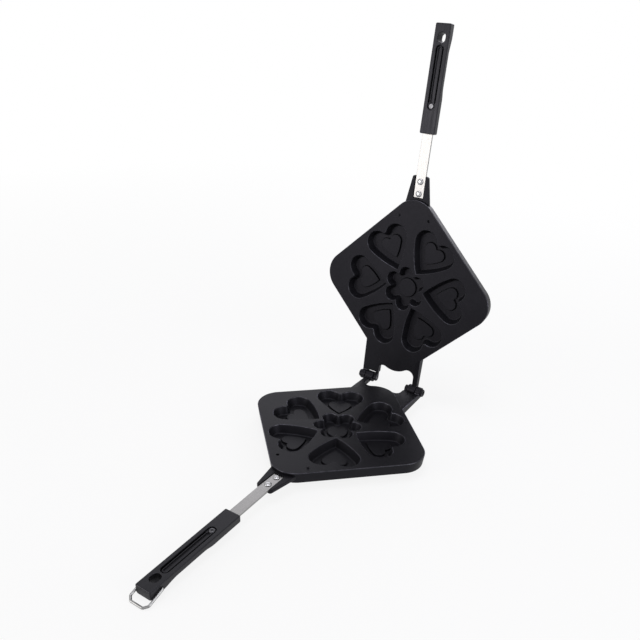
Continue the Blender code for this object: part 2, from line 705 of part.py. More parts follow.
def build_grip(name, holds_bail):
    """One grip in the handle frame, with its slot, groove, hang hole and tang pocket."""
    sections = [grip_section(-STRIP_FREE_LENGTH - share * GRIP_LENGTH, depth)
                for share, depth in grip_stations()]
    grip = start_solid("grip_blank", loft("grip_blank", sections))
    above = GRIP_ABOVE_STRIP + OVERRUN
    below = GRIP_ABOVE_STRIP - GRIP_END_DEPTH - OVERRUN
    slot = stadium((SLOT_FRONT + SLOT_END) / 2, SLOT_FRONT - SLOT_END, SLOT_WIDTH)
    combine(grip, "DIFFERENCE", flat_solid("slot", slot, 0, above))
    groove_front = TANG_END - GROOVE_FROM_TANG
    groove_back = SLOT_END + GROOVE_FROM_SLOT_END
    groove = stadium((groove_front + groove_back) / 2, groove_front - groove_back, GROOVE_WIDTH)
    combine(grip, "DIFFERENCE", flat_solid("groove", groove, -GROOVE_DEPTH, above))
    half = STRIP_WIDTH / 2 + CLEARANCE
    pocket = box("tang_pocket", (-half, TANG_END - CLEARANCE, -STRIP_THICKNESS - CLEARANCE),
                 (half, -STRIP_FREE_LENGTH + OVERRUN, CLEARANCE))
    combine(grip, "DIFFERENCE", pocket)
    hang_hole = stadium(GRIP_END + HANG_HOLE_FROM_END, HANG_HOLE_LENGTH, HANG_HOLE_WIDTH)
    combine(grip, "DIFFERENCE", flat_solid("hang_hole", hang_hole, below, above))
    combine(grip, "DIFFERENCE", rod("screw_seat", SCREW_RADIUS + CLEARANCE, -SCREW_LENGTH - CLEARANCE, 0, "Z",
                                    (0, SCREW_Y, 0)))
    if holds_bail:
        hole = rod("bail_hole", WIRE_RADIUS + CLEARANCE, GRIP_WIDTH / 2 - BAIL_HOLE_DEPTH,
                   GRIP_WIDTH / 2 + OVERRUN, "X", (0, BAIL_Y, BAIL_Z))
        combine(grip, "DIFFERENCE", joined("bail_holes", [hole, mirrored(hole.copy())]))
    return mesh_of(grip)


def bail_angle():
    """How far below level the bail hangs when its cross bar lies just over the table."""
    pivot = HINGE_FRAME @ HANDLE_FRAME @ Vector((0, BAIL_Y, BAIL_Z))
    return math.asin((pivot.z - WIRE_RADIUS - BAIL_LIFT) / BAIL_REACH)


def build_bail():
    """The wire bail about its own pivot: turned-in ends, two legs and a cross bar."""
    right = [(BAIL_TIP, 0), (BAIL_SIDE - WIRE_RADIUS, 0), (BAIL_SIDE, -WIRE_RADIUS),
             (BAIL_SIDE, BAIL_CHAMFER - BAIL_REACH), (BAIL_SIDE - BAIL_CHAMFER, -BAIL_REACH)]
    route = right + [(-across, along) for across, along in reversed(right)]
    curve = poly_curve("locking_bail", "3D", route, False)
    curve.bevel_depth = WIRE_RADIUS
    curve.bevel_resolution = WIRE_RESOLUTION
    curve.use_fill_caps = True
    return mesh_from_guide("locking_bail", curve)


# Assembly

def add_empty(name, frame, parent=None):
    empty = bpy.data.objects.new(name, None)
    bpy.data.collections["heart_waffle_iron"].objects.link(empty)
    empty.parent = parent
    empty.matrix_local = frame
    return empty


def add_part(name, mesh, material, parent, frame=Matrix.Identity(4)):
    if not mesh.materials:
        mesh.materials.append(material)
        mesh.shade_smooth()
        mesh.set_sharp_from_angle(angle=SMOOTH_ANGLE)
    part = bpy.data.objects.new(name, mesh)
    bpy.data.collections["heart_waffle_iron"].objects.link(part)
    part.parent = parent
    part.matrix_local = frame


def build_pin(name):
    """A hinge pin, pressed into a half's own ear and lug, through the other half's tongue."""
    return rod(name, PIN_RADIUS, LUG_INNER + CLEARANCE, EAR_FACE - PIN_RECESS, "X")


def main():
    clear_scene()
    new_collection("heart_waffle_iron")
    new_collection("cutters")
    cast_metal = make_material("coated cast aluminium", (0.024, 0.024, 0.026), 0.62, 0)
    black_plastic = make_material("black phenolic plastic", (0.012, 0.012, 0.013), 0.42, 0)
    steel = make_material("stainless steel", (0.60, 0.60, 0.59), 0.30, 1)
    hinge = add_empty("hinge", HINGE_FRAME)
    lower = add_empty("lower_half", Matrix.Identity(4), hinge)
    upper = add_empty("upper_half", TURNED_OVER, hinge)
    casting = build_casting()
    strip = build_strip()
    rivet = build_rivet()
    screw = build_screw()
    for side, half in (("lower", lower), ("upper", upper)):
        add_part(side + "_plate", casting, cast_metal, half)
        add_part(side + "_handle_strip", strip, steel, half)
        for place, along in rivet_places().items():
            add_part(side + "_" + place + "_rivet", rivet, steel, half, Matrix.Translation((0, along, 0)))
        handle = add_empty(side + "_handle", HANDLE_FRAME, half)
        add_part(side + "_grip", build_grip(side + "_grip", side == "lower"), black_plastic, handle)
        add_part(side + "_grip_screw", screw, steel, handle, Matrix.Translation((0, SCREW_Y, 0)))
    add_part("hinge_pin_right", build_pin("hinge_pin_right"), steel, lower)
    add_part("hinge_pin_left", build_pin("hinge_pin_left"), steel, upper)
    pivot = Matrix.Translation(HANDLE_FRAME @ Vector((0, BAIL_Y, BAIL_Z)))
    add_part("locking_bail", build_bail(), steel, lower, pivot @ Matrix.Rotation(bail_angle(), 4, "X"))


main()
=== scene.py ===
import json
import math

import bmesh
import bpy
from mathutils import Matrix, Vector


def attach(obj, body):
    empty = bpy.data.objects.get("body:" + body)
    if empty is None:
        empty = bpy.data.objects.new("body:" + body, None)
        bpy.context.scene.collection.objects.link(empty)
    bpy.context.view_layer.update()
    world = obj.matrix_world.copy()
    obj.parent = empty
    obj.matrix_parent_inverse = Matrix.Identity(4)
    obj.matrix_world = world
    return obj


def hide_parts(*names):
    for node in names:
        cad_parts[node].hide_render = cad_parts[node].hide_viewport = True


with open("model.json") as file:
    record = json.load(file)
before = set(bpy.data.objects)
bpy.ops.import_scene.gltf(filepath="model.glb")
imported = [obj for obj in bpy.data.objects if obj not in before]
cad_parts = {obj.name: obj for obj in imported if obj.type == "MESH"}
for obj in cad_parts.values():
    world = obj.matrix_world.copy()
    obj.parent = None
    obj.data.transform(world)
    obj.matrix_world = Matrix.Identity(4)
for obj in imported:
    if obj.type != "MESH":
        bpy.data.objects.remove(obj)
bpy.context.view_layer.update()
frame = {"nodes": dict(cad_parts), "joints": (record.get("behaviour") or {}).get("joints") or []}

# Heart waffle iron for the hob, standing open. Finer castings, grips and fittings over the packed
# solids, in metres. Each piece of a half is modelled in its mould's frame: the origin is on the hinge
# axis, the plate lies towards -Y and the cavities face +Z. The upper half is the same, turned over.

print("frame loaded:", len(frame["nodes"]), "nodes")

joints = {joint["name"]: joint for joint in frame["joints"]}
hingePlace = Vector(joints["main_hinge"]["pos_m"])
openAngle = math.radians(joints["main_hinge"]["range_deg"][1])
bailPlace = Vector(joints["bail_swing"]["pos_m"])

atHinge = Matrix.Translation(hingePlace)
turnedOver = Matrix.Rotation(-openAngle, 4, "X") @ Matrix.Rotation(math.pi, 4, "Y")
halfFrames = {"lower": atHinge, "upper": atHinge @ turnedOver}


# Flat outlines

def polar(radius, angle):
    return Vector((radius * math.cos(angle), radius * math.sin(angle)))


def bearing(vector):
    return math.atan2(vector.y, vector.x)


def quarterTurn(steps):
    return [math.pi / 2 * step / steps for step in range(steps + 1)]


def arcPoints(centre, radius, start, end, steps):
    return [Vector(centre) + polar(radius, start + (end - start) * step / steps) for step in range(steps + 1)]


def slotOutline(centreY, length, width, steps=24):
    reach = (length - width) / 2
    front = arcPoints((0, centreY + reach), width / 2, 0, math.pi, steps)
    return front + arcPoints((0, centreY - reach), width / 2, math.pi, 2 * math.pi, steps)


def softened(corners, radii, steps):
    # a path through corners, each turned with its own radius
    path = [Vector(corners[0])]
    for before, corner, after, radius in zip(corners, corners[1:], corners[2:], radii):
        corner = Vector(corner)
        back = (Vector(before) - corner).normalized()
        ahead = (Vector(after) - corner).normalized()
        if radius == 0:
            path.append(corner)
            continue
        half = back.angle(ahead) / 2
        centre = corner + (back + ahead).normalized() * radius / math.sin(half)
        start = bearing(corner + back * radius / math.tan(half) - centre)
        turn = bearing(corner + ahead * radius / math.tan(half) - centre) - start
        turn = (turn + math.pi) % (2 * math.pi) - math.pi
        path += arcPoints(centre, radius, start, start + turn, steps)
    return path + [Vector(corners[-1])]


# Meshes

def finishedMesh(name, shape):
    bmesh.ops.recalc_face_normals(shape, faces=shape.faces)
    mesh = bpy.data.meshes.new(name)
    shape.to_mesh(mesh)
    shape.free()
    return mesh


def loftMesh(name, rings):
    shape = bmesh.new()
    rows = [[shape.verts.new(Vector(point).to_3d()) for point in ring] for ring in rings]
    for low, high in zip(rows, rows[1:]):
        for index in range(len(low)):
            shape.faces.new((low[index - 1], low[index], high[index], high[index - 1]))
    shape.faces.new(rows[0])
    shape.faces.new(rows[-1])
    return finishedMesh(name, shape)


def prismMesh(name, outline, low, high):
    return loftMesh(name, [[(*point, height) for point in outline] for height in (low, high)])


def sidePrism(name, outline, low, high):
    # an outline of (y, z) points, thick along X
    return loftMesh(name, [[(across, *point) for point in outline] for across in (low, high)])


def boxMesh(name, low, high):
    return prismMesh(name, [(low[0], low[1]), (high[0], low[1]), (high[0], high[1]), (low[0], high[1])],
                     low[2], high[2])


def turnedMesh(name, profile, steps=64):
    # a solid about Z through (radius, height) points whose ends lie on the axis
    shape = bmesh.new()
    tops = [shape.verts.new((0, 0, profile[0][1])), shape.verts.new((0, 0, profile[-1][1]))]
    rings = [[shape.verts.new((*polar(radius, 2 * math.pi * step / steps), height)) for step in range(steps)]
             for radius, height in profile[1:-1]]
    for low, high in zip(rings, rings[1:]):
        for step in range(steps):
            shape.faces.new((low[step - 1], low[step], high[step], high[step - 1]))
    for top, ring in zip(tops, (rings[0], rings[-1])):
        for step in range(steps):
            shape.faces.new((top, ring[step - 1], ring[step]))
    return finishedMesh(name, shape)


def rodMesh(name, radius, low, high, axis, place=(0, 0, 0), edge=0.0, steps=48):
    profile = softened([(0, high), (radius, high), (radius, low), (0, low)], [edge, edge], steps=3)
    mesh = turnedMesh(name, profile, steps)
    if axis == "X":
        mesh.transform(Matrix.Rotation(math.pi / 2, 4, "Y"))
    mesh.transform(Matrix.Translation(place))
    return mesh


def closedLoft(name, rings):
    # rings joined in a loop, such as a rail or a groove that runs right round
    shape = bmesh.new()
    rows = [[shape.verts.new(Vector(point)) for point in ring] for ring in rings]
    for low, high in zip(rows, rows[1:] + rows[:1]):
        for index in range(len(low)):
            shape.faces.new((low[index - 1], low[index], high[index], high[index - 1]))
    return finishedMesh(name, shape)


def joinedMesh(name, meshes):
    shape = bmesh.new()
    for mesh in meshes:
        shape.from_mesh(mesh)
    return finishedMesh(name, shape)


def mirroredMesh(mesh):
    mesh.transform(Matrix.Scale(-1, 4, (1, 0, 0)))
    mesh.flip_normals()
    return mesh


def workObject(mesh):
    thing = bpy.data.objects.new(mesh.name, mesh)
    bpy.context.scene.collection.objects.link(thing)
    return thing


def shownMesh(thing):
    bpy.context.view_layer.update()
    evaluated = thing.evaluated_get(bpy.context.evaluated_depsgraph_get())
    return bpy.data.meshes.new_from_object(evaluated)


def bakedMesh(thing):
    # the mesh that an object's modifiers make; the object goes
    mesh = shownMesh(thing)
    bpy.data.objects.remove(thing, do_unlink=True)
    return mesh


def bevelledMesh(mesh, width, segments=3, angle=30):
    thing = workObject(mesh)
    bevel = thing.modifiers.new("edges", "BEVEL")
    bevel.width = width
    bevel.segments = segments
    bevel.angle_limit = math.radians(angle)
    return bakedMesh(thing)


def weldedMesh(mesh, join=1e-6):
    shape = bmesh.new()
    shape.from_mesh(mesh)
    bmesh.ops.remove_doubles(shape, verts=shape.verts, dist=join)
    bmesh.ops.delete(shape, geom=[edge for edge in shape.edges if not edge.link_faces], context="EDGES")
    bmesh.ops.delete(shape, geom=[vertex for vertex in shape.verts if not vertex.link_faces], context="VERTS")
    bmesh.ops.holes_fill(shape, edges=[edge for edge in shape.edges if edge.is_boundary], sides=4)
    shape.to_mesh(mesh)
    shape.free()
    return mesh


def shapedBy(mesh, tools):
    # the mesh with each (operation, tool mesh) of the list added or taken away in turn
    for operation, toolMesh in tools:
        thing = workObject(mesh)
        tool = workObject(toolMesh)
        boolean = thing.modifiers.new("tool", "BOOLEAN")
        boolean.operation = operation
        boolean.solver = "EXACT"
        boolean.object = tool
        mesh = weldedMesh(bakedMesh(thing))
        bpy.data.objects.remove(tool, do_unlink=True)
    return mesh


def addPiece(name, mesh, material, place, body, node, sharpAngle=38):
    mesh.materials.clear()
    mesh.materials.append(material)
    mesh.shade_smooth()
    mesh.set_sharp_from_angle(angle=math.radians(sharpAngle))
    piece = workObject(mesh)
    piece.name = name
    piece.matrix_world = place
    normals = piece.modifiers.new("even normals", "WEIGHTED_NORMAL")
    normals.keep_sharp = True
    normals.weight = 100
    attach(piece, body)
    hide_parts(node)
    return piece


# Finishes

def startFinish(name):
    material = bpy.data.materials.new(name)
    material.use_nodes = True
    return material, material.node_tree, material.node_tree.nodes["Principled BSDF"]


def addNode(tree, kind, values=None, **options):
    node = tree.nodes.new(kind)
    for option, value in options.items():
        setattr(node, option, value)
    for socket, value in (values or {}).items():
        if isinstance(value, bpy.types.NodeSocket):
            tree.links.new(value, node.inputs[socket])
        else:
            node.inputs[socket].default_value = value
    return node


def addRamp(tree, factor, band, levels):
    # goes from one level to the other across a band of the factor
    ramp = addNode(tree, "ShaderNodeValToRGB", {"Fac": factor})
    for element, place, level in zip(ramp.color_ramp.elements, band, levels):
        element.position = place
        element.color = (*level, 1) if isinstance(level, tuple) else (level, level, level, 1)
    return ramp.outputs["Color"]


def mathLevel(tree, operation, first, second):
    return addNode(tree, "ShaderNodeMath", {0: first, 1: second}, operation=operation).outputs[0]


def rangeLevel(tree, value, start, end, low=0.0):
    # goes from low to 1 as the value goes from start to end, and stays there
    return addNode(tree, "ShaderNodeMapRange", {"Value": value, "From Min": start, "From Max": end,
                                                "To Min": low}).outputs[0]


def grainCoordinates(tree, stretch):
    coordinates = addNode(tree, "ShaderNodeTexCoord")
    mapping = addNode(tree, "ShaderNodeMapping", {"Vector": coordinates.outputs["Object"], "Scale": stretch})
    return mapping.outputs[0]


def noiseLevel(tree, place, scale, detail, roughness=0.5):
    noise = addNode(tree, "ShaderNodeTexNoise", {"Vector": place, "Scale": scale, "Detail": detail,
                                                 "Roughness": roughness})
    return noise.outputs["Fac"]


def stackBumps(tree, shader, layers):
    # layers of (height, strength, distance), finest last
    normal = None
    for height, strength, distance in layers:
        bump = addNode(tree, "ShaderNodeBump", {"Height": height, "Strength": strength, "Distance": distance})
        if normal:
            tree.links.new(normal, bump.inputs["Normal"])
        normal = bump.outputs["Normal"]
    tree.links.new(normal, shader.inputs["Normal"])


coatLook = {
    "dark": (0.0038, 0.0037, 0.0048), "pale": (0.0072, 0.0071, 0.0086),
    "cloudScale": 55, "cloudBand": (0.30, 0.72), "peelScale": 620,
    "grainScale": 2600, "grainBand": (0.3, 0.7),
    "glossy": 0.36, "matt": 0.50, "shine": 0.135, "shineTint": (0.86, 0.84, 1.0),
    "peelStrength": 0.5, "peelHeight": 0.00003, "grainStrength": 0.6, "grainHeight": 0.000012,
    "rimDepth": 0.0011, "rimTop": 0.0002, "rimFlat": 0.99, "rimTurned": 0.90,
    # the rim values below paint a highlight onto the rounded rims: a paler metallic colour and a lower
    # roughness there, in noisy patches
    "paintedRimColour": (0.050, 0.049, 0.058), "paintedRimGloss": 0.22, "paintedRimMetal": 0.9,
    "paintedPatchScale": 160, "paintedPatchBand": (0.3, 0.6), "leastPaintedRim": 0.35,
}


def paintedRimHighlightMask(tree, place):
    # painted highlight: where a rounded mouth or plate rim lies at or just under the deck's height, in noisy
    # patches, the coat is made paler, glossier and metallic so that the rounded edges show light lines
    coordinates = addNode(tree, "ShaderNodeTexCoord")
    height = addNode(tree, "ShaderNodeSeparateXYZ", {0: coordinates.outputs["Object"]}).outputs["Z"]
    facing = addNode(tree, "ShaderNodeSeparateXYZ", {0: coordinates.outputs["Normal"]}).outputs["Z"]
    high = rangeLevel(tree, height, -coatLook["rimDepth"], -coatLook["rimDepth"] / 2)
    low = mathLevel(tree, "LESS_THAN", height, coatLook["rimTop"])
    rounded = rangeLevel(tree, facing, coatLook["rimFlat"], coatLook["rimTurned"])
    highlightPatches = noiseLevel(tree, place, coatLook["paintedPatchScale"], detail=3)
    share = rangeLevel(tree, highlightPatches, *coatLook["paintedPatchBand"], low=coatLook["leastPaintedRim"])
    for part in (high, low, rounded):
        share = mathLevel(tree, "MULTIPLY", share, part)
    return share


def coatedCasting():
    material, tree, shader = startFinish("coated cast aluminium")
    place = grainCoordinates(tree, (1, 1, 1))
    paintedRimShare = paintedRimHighlightMask(tree, place)
    clouds = noiseLevel(tree, place, coatLook["cloudScale"], detail=5, roughness=0.6)
    peel = noiseLevel(tree, place, coatLook["peelScale"], detail=2)
    grain = noiseLevel(tree, place, coatLook["grainScale"], detail=2, roughness=0.6)
    colour = addRamp(tree, clouds, coatLook["cloudBand"], (coatLook["dark"], coatLook["pale"]))
    rough = addRamp(tree, grain, coatLook["grainBand"], (coatLook["glossy"], coatLook["matt"]))
    # the painted rim highlight is mixed into the base colour, roughness and metallic
    for socket, plain, highlightLevel in (("Base Color", colour, coatLook["paintedRimColour"]),
                                    ("Roughness", rough, (coatLook["paintedRimGloss"],) * 3)):
        mix = addNode(tree, "ShaderNodeMixRGB", {"Fac": paintedRimShare, "Color1": plain, "Color2": (*highlightLevel, 1)})
        tree.links.new(mix.outputs[0], shader.inputs[socket])
    tree.links.new(mathLevel(tree, "MULTIPLY", paintedRimShare, coatLook["paintedRimMetal"]), shader.inputs["Metallic"])
    shader.inputs["Specular IOR Level"].default_value = coatLook["shine"]
    shader.inputs["Specular Tint"].default_value = (*coatLook["shineTint"], 1)
    stackBumps(tree, shader, [(peel, coatLook["peelStrength"], coatLook["peelHeight"]),
                              (grain, coatLook["grainStrength"], coatLook["grainHeight"])])
    return material


plasticLook = {
    "dark": (0.0040, 0.0040, 0.0048), "pale": (0.0078, 0.0077, 0.0085),
    "flowStretch": (420, 30, 420), "flowBand": (0.3, 0.7), "grainScale": 1900,
    "glossy": 0.28, "matt": 0.48, "shine": 0.26, "shineTint": (0.88, 0.87, 1.0),
    "flowStrength": 0.35, "flowHeight": 0.00002, "grainStrength": 0.4, "grainHeight": 0.000008,
}


def blackPlastic():
    material, tree, shader = startFinish("black phenolic plastic")
    along = grainCoordinates(tree, plasticLook["flowStretch"])
    flow = noiseLevel(tree, along, 1, detail=3, roughness=0.6)
    grain = noiseLevel(tree, grainCoordinates(tree, (1, 1, 1)), plasticLook["grainScale"], detail=2)
    for socket, levels in (("Base Color", ("dark", "pale")), ("Roughness", ("glossy", "matt"))):
        ramp = addRamp(tree, flow, plasticLook["flowBand"], [plasticLook[level] for level in levels])
        tree.links.new(ramp, shader.inputs[socket])
    shader.inputs["Specular IOR Level"].default_value = plasticLook["shine"]
    shader.inputs["Specular Tint"].default_value = (*plasticLook["shineTint"], 1)
    stackBumps(tree, shader, [(flow, plasticLook["flowStrength"], plasticLook["flowHeight"]),
                              (grain, plasticLook["grainStrength"], plasticLook["grainHeight"])])
    return material


steelLooks = {
    "brushed steel": {"dark": (0.25, 0.245, 0.245), "pale": (0.33, 0.325, 0.325), "stretch": (2600, 60, 2600),
                      "glossy": 0.24, "matt": 0.40, "depth": 0.000006},
    "drawn steel wire": {"dark": (0.20, 0.20, 0.20), "pale": (0.32, 0.32, 0.32), "stretch": (1500, 160, 1500),
                         "glossy": 0.16, "matt": 0.28, "depth": 0.000006},
    "turned steel": {"dark": (0.34, 0.34, 0.35), "pale": (0.46, 0.46, 0.47), "stretch": (500, 500, 2200),
                     "glossy": 0.14, "matt": 0.24, "depth": 0.000006},
    "plated steel": {"dark": (0.06, 0.06, 0.066), "pale": (0.13, 0.13, 0.14), "stretch": (700, 700, 1500),
                     "glossy": 0.08, "matt": 0.14, "depth": 0.000004},
}
steelGrain = {"speckScale": 1300, "band": (0.36, 0.64), "strength": 0.5}


def steelFinish(name):
    look = steelLooks[name]
    material, tree, shader = startFinish(name)
    lines = noiseLevel(tree, grainCoordinates(tree, look["stretch"]), 1, detail=4, roughness=0.65)
    specks = noiseLevel(tree, grainCoordinates(tree, (1, 1, 1)), steelGrain["speckScale"], detail=3)
    middle = mathLevel(tree, "MULTIPLY", mathLevel(tree, "ADD", lines, specks), 0.5)
    for socket, levels in (("Base Color", ("dark", "pale")), ("Roughness", ("glossy", "matt"))):
        ramp = addRamp(tree, middle, steelGrain["band"], [look[level] for level in levels])
        tree.links.new(ramp, shader.inputs[socket])
    shader.inputs["Metallic"].default_value = 1
    stackBumps(tree, shader, [(lines, steelGrain["strength"], look["depth"])])
    return material


coat = coatedCasting()
plastic = blackPlastic()
brushedSteel = steelFinish("brushed steel")
wireSteel = steelFinish("drawn steel wire")
turnedSteel = steelFinish("turned steel")
platedSteel = steelFinish("plated steel")
print("finishes made")


# Castings: a square plate on its corner, six hearts round a flower, hinge arms and a handle fork

plate = {
    "side": 0.150, "corner": 0.0245, "smallestCorner": 0.0020, "cornerSteps": 18,
    "rimGap": 0.00015, "rimRound": 0.0009, "footRound": 0.0012,
    "wallDraft": 0.0017, "wallThick": 0.0036, "deckThick": 0.0043, "floorThick": 0.0028,
    "cavityDepth": 0.0088, "cavityDraft": 0.0031, "cavityWall": 0.0026,
    "mouthRound": 0.0008, "mouthLift": 0.00003, "floorRound": 0.0014,
    "railHeight": 0.0074, "railInset": 0.0160, "railWidth": 0.0042, "railRound": 0.0006,
    "locatorApart": 0.0175, "locatorFromCorner": 0.0190, "pegRadius": 0.0013, "pegHeight": 0.0014,
    "pegPlay": 0.0004, "pegRound": 0.0004,
}
hearts = {
    "count": 6, "sideAngle": math.radians(15), "edgeLand": 0.0047, "landBetween": 0.0100,
    "centreLand": 0.0048, "lobeOverlap": 0.0008, "sideRadius": 0.110, "notchRadius": 0.0024,
    "tipRadius": 0.0012, "smallest": 0.0004, "lobeSteps": 20, "sideSteps": 12, "smallSteps": 5,
}
flower = {"petalOut": 0.0160, "petalOverlap": 0.0002, "notchRadius": 0.0006, "petalSteps": 14}
boss = {
    "height": 0.0020, "draft": 0.0005, "topRound": 0.0006, "footRound": 0.0004,
    "sizeShare": 0.49, "placeShare": 0.538, "roundRadius": 0.0102,
}
hinge = {
    "beyondCorner": 0.0142, "knuckle": 0.0054, "armDepth": 0.0088, "notchPlay": 0.0013,
    "lugInner": 0.0181, "lugWidth": 0.0034, "tongueWidth": 0.0095, "sidePlay": 0.0005,
    "earWidth": 0.0058, "earBossHeight": 0.0022, "earBossRadius": 0.0041,
    "neckInnerStep": 0.0030, "neckOuterStep": 0.0005, "lugFillet": 0.0055, "tongueFillet": 0.0070,
    "pinRadius": 0.0016, "pinRecess": 0.0015, "pinRound": 0.0003, "play": 0.0003, "edgeRound": 0.0007,
    "knuckleSteps": 36, "step": 0.00008, "tongueRadius": 0.0057, "tongueRound": 0.0009,
    "lugRadius": 0.0038, "lugInside": 0.0003, "webDepth": 0.0060, "webSteps": 14,
}
fork = {
    "length": 0.0242, "rootInside": 0.0080, "rootWidth": 0.0286, "endWidth": 0.0174, "drop": 0.0032,
    "floor": 0.0020, "underBevel": 0.0018, "endBevel": 0.0010, "edgeRound": 0.0005,
}
overrun = 0.002

wallHeight = plate["cavityDepth"] + plate["floorThick"]
halfDiagonal = plate["side"] / math.sqrt(2)
cornerReach = halfDiagonal - plate["corner"] * (math.sqrt(2) - 1)
centreY = -(cornerReach + hinge["beyondCorner"])
rim = -plate["rimGap"]
cavityFloor = rim - plate["cavityDepth"]
deckUnder = rim - plate["deckThick"]
inDeck = rim - plate["deckThick"] * 3 / 4
wallFoot = rim - wallHeight
railFoot = wallFoot - plate["railHeight"]
petalRadius = flower["petalOut"] * math.sin(math.pi / hearts["count"]) + flower["petalOverlap"]
lugOuter = hinge["lugInner"] + hinge["lugWidth"]
tongueInner = lugOuter + hinge["sidePlay"]
tongueOuter = tongueInner + hinge["tongueWidth"]
earInner = tongueOuter + hinge["sidePlay"]
earOuter = earInner + hinge["earWidth"]
earFace = earOuter + hinge["earBossHeight"]
handleCorner = centreY - cornerReach
forkEnd = handleCorner - fork["length"]
forkTop = rim - fork["drop"]


def plateOutline(inset):
    radius = max(plate["corner"] - inset, plate["smallestCorner"])
    reach = (plate["side"] / 2 - inset - radius) * math.sqrt(2)
    points = []
    for corner in range(4):
        middle = corner * math.pi / 2
        points += arcPoints(polar(reach, middle), radius, middle - math.pi / 4, middle + math.pi / 4,
                            plate["cornerSteps"])
    return points


def touchingPlace(centre, roundRadius, notchRadius):
    # where on the X axis a circle touches two equal circles beside the axis
    return centre.x + math.sqrt((roundRadius + notchRadius) ** 2 - centre.y ** 2)


def flowerOutline(inset):
    pitch = 2 * math.pi / hearts["count"]
    notchRadius = max(flower["notchRadius"] + inset, hearts["smallest"])
    radius = petalRadius - inset
    notchOut = touchingPlace(polar(flower["petalOut"], pitch / 2), radius, notchRadius)
    sweep = bearing(polar(notchOut, pitch / 2) - Vector((flower["petalOut"], 0)))
    points = []
    for petal in range(hearts["count"]):
        inwards = petal * pitch + math.pi
        opening = sweep - pitch / 2
        points += arcPoints(polar(notchOut, petal * pitch), notchRadius, inwards + opening, inwards - opening,
                            hearts["smallSteps"])[:-1]
        middle = (petal + 0.5) * pitch
        points += arcPoints(polar(flower["petalOut"], middle), radius, middle - sweep, middle + sweep,
                            flower["petalSteps"])[:-1]
    return points


def lobeCentre():
    halfPitch = math.pi / hearts["count"]
    lean = math.sin(hearts["sideAngle"])
    toEdge = plate["side"] / 2 - hearts["edgeLand"] - hearts["lobeOverlap"]
    alongShare = math.sin(halfPitch) / math.cos(hearts["sideAngle"])
    room = alongShare * toEdge - hearts["lobeOverlap"] - hearts["landBetween"] / 2
    apart = room / (1 + math.cos(halfPitch) + alongShare * (1 + lean))
    return Vector(((toEdge - apart * (1 + lean)) / math.cos(hearts["sideAngle"]), apart))


def sideCentre(lobe):
    flowerNotch = touchingPlace(polar(flower["petalOut"], math.pi / hearts["count"]), petalRadius,
                                flower["notchRadius"])
    tip = Vector((flowerNotch - flower["notchRadius"] + hearts["centreLand"], 0))
    span = lobe - tip
    toLobe = hearts["sideRadius"] - lobe.y - hearts["lobeOverlap"]
    along = (span.length_squared + hearts["sideRadius"] ** 2 - toLobe ** 2) / (2 * span.length)
    aside = math.sqrt(hearts["sideRadius"] ** 2 - along ** 2)
    direction = span.normalized()
    return tip + direction * along + Vector((direction.y, -direction.x)) * aside


def heartOutline(inset):
    lobe = lobeCentre()
    side = sideCentre(lobe)
    lobeRadius = lobe.y + hearts["lobeOverlap"] - inset
    sideRadius = hearts["sideRadius"] - inset
    notchRadius = max(hearts["notchRadius"] + inset, hearts["smallest"])
    tipRadius = max(hearts["tipRadius"] - inset, hearts["smallest"])
    notch = Vector((touchingPlace(lobe, lobeRadius, notchRadius), 0))
    tip = Vector((side.x - math.sqrt((sideRadius - tipRadius) ** 2 - side.y ** 2), 0))
    half = arcPoints(notch, notchRadius, math.pi, bearing(lobe - notch), hearts["smallSteps"])
    half += arcPoints(lobe, lobeRadius, bearing(notch - lobe), bearing(lobe - side), hearts["lobeSteps"])[1:]
    half += arcPoints(side, sideRadius, bearing(lobe - side), bearing(tip - side), hearts["sideSteps"])[1:]
    half += arcPoints(tip, tipRadius, bearing(tip - side), math.pi, hearts["smallSteps"])[1:]
    return half + [Vector((point.x, -point.y)) for point in reversed(half[1:-1])]


def heartBossOutline(spread):
    mouth = heartOutline(0)
    reach = [point.x for point in mouth]
    middle = min(reach) + (max(reach) - min(reach)) * boss["placeShare"]
    sizeShare = boss["sizeShare"] + spread / (2 * lobeCentre().y)
    return [Vector((middle + (point.x - middle) * sizeShare, point.y * sizeShare)) for point in mouth]


def roundBossOutline(spread):
    # as many points as the flower, and level with them
    count = len(flowerOutline(0))
    return [polar(boss["roundRadius"] + spread, 2 * math.pi * (index - hearts["smallSteps"] / 2) / count)
            for index in range(count)]


def plateRings(outline, profile, turn=0):
    # the outline at each (inset, height) of a profile, round the plate's centre
    spin = Matrix.Rotation(turn, 2)
    return [[(*(spin @ point + Vector((0, centreY))), height) for point in outline(inset)]
            for inset, height in profile]


def everyCavity(name, heartRings, middleRings):
    turns = [2 * math.pi * heart / hearts["count"] for heart in range(hearts["count"])]
    meshes = [loftMesh(name, heartRings(turn)) for turn in turns]
    return joinedMesh(name, meshes + [loftMesh(name, middleRings)])


def cavityProfile():
    high = rim + plate["mouthLift"]
    draft = plate["cavityDraft"]
    corners = [(-plate["mouthRound"] * 2, high), (0, high), (draft, cavityFloor), (2 * draft, cavityFloor)]
    path = softened(corners, [plate["mouthRound"], plate["floorRound"]], steps=6)[1:-1]
    return [(path[0].x, rim + overrun)] + path


def shellProfile():
    slope = plate["cavityDraft"] / plate["cavityDepth"]
    high = (slope * (rim - inDeck) - plate["cavityWall"], inDeck)
    foot = wallFoot + hinge["step"]
    low = (plate["cavityDraft"] - plate["cavityWall"], foot)
    return softened([high, low, (low[0] + plate["cavityDraft"], foot)], [plate["footRound"]], steps=4)[:-1]


def bossProfile():
    top = cavityFloor + boss["height"]
    return softened([(boss["draft"] * 3, cavityFloor), (boss["draft"], cavityFloor), (0, top),
                     (-boss["draft"] * 3, top)], [boss["footRound"], boss["topRound"]], steps=4)[1:-1]


